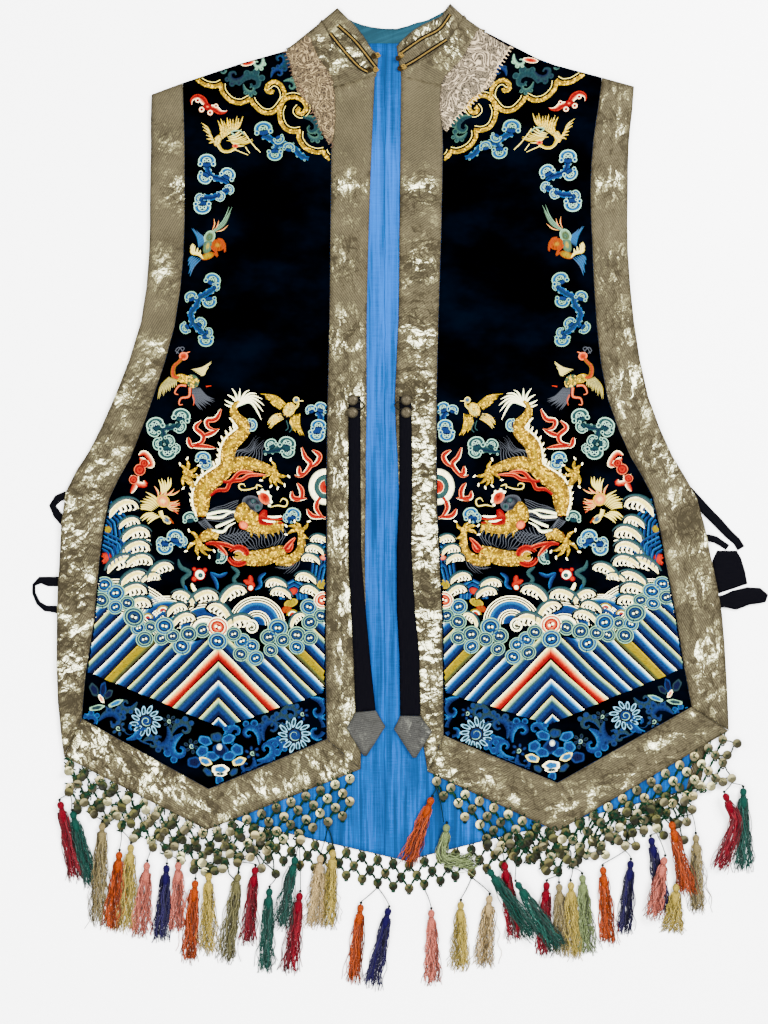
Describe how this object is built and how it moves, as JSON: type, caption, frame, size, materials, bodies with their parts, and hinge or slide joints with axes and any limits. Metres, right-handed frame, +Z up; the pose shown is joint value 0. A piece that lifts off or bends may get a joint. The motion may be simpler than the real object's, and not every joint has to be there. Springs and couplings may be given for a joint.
{
  "type": "embroidered ceremonial vest",
  "caption": "Sleeveless court vest laid flat and open, with embroidered satin fronts, metallic bands, blue lining, disc net and tasselled hem.",
  "frame": {"origin": "on the resting surface, under the middle of the laid-out vest's bounding box", "axes": "+X to the viewer's right, +Y towards the collar, +Z up from the surface"},
  "size_m": [0.8241, 1.1005, 0.0178],
  "materials": {
    "satin": "black silk satin with silk embroidery",
    "brocade": "silver-gilt metal-thread brocade, creased",
    "lining": "matt blue cotton",
    "collar_lining": "matt faded teal cotton",
    "lace": "silvered thread lace",
    "ribbon": "black ribbed silk ribbon",
    "net": "worn white-metal discs knotted in green cord",
    "button": "dull chased white metal",
    "frog": "metal-thread cord edged in black",
    "silk": "twisted silk floss, one colour a tassel"
  },
  "bodies": {
    "root": {"armhole_band_left": "brocade", "armhole_band_right": "brocade", "back_armhole_band_left": "brocade", "back_armhole_band_right": "brocade", "back_hem_band": "brocade", "back_lining": "lining", "back_panel": "satin", "button_pair_left": "button", "button_pair_right": "button", "collar_back": "collar_lining", "collar_left": "brocade", "collar_right": "brocade", "frog_left": "frog", "frog_right": "frog", "front_band_left": "brocade", "front_band_right": "brocade", "front_left": "satin", "front_right": "satin", "hem_band_left": "brocade", "hem_band_right": "brocade", "lace_left": "lace", "lace_right": "lace", "neck_piece_left": "brocade", "neck_piece_right": "brocade", "net_back": "net", "net_left": "net", "net_right": "net", "ribbon_left_lower": "ribbon", "ribbon_left_upper": "ribbon", "ribbon_right_middle": "ribbon", "ribbon_right_tail": "ribbon", "ribbon_right_upper": "ribbon", "ribbon_right_wide": "ribbon", "strap_left": "ribbon", "strap_right": "ribbon", "strap_tip_left": "brocade", "strap_tip_right": "brocade", "tassel_02": "silk", "tassel_04": "silk", "tassel_08": "silk", "tassel_12": "silk", "tassel_16": "silk", "tassel_22": "silk", "tassels_01": "silk", "tassels_03": "silk", "tassels_05": "silk", "tassels_06": "silk", "tassels_07": "silk", "tassels_09": "silk", "tassels_10": "silk", "tassels_11": "silk", "tassels_13": "silk", "tassels_14": "silk", "tassels_15": "silk", "tassels_17": "silk", "tassels_18": "silk", "tassels_19": "silk", "tassels_20": "silk", "tassels_21": "silk", "tassels_23": "silk"}
  },
  "joints": []
}
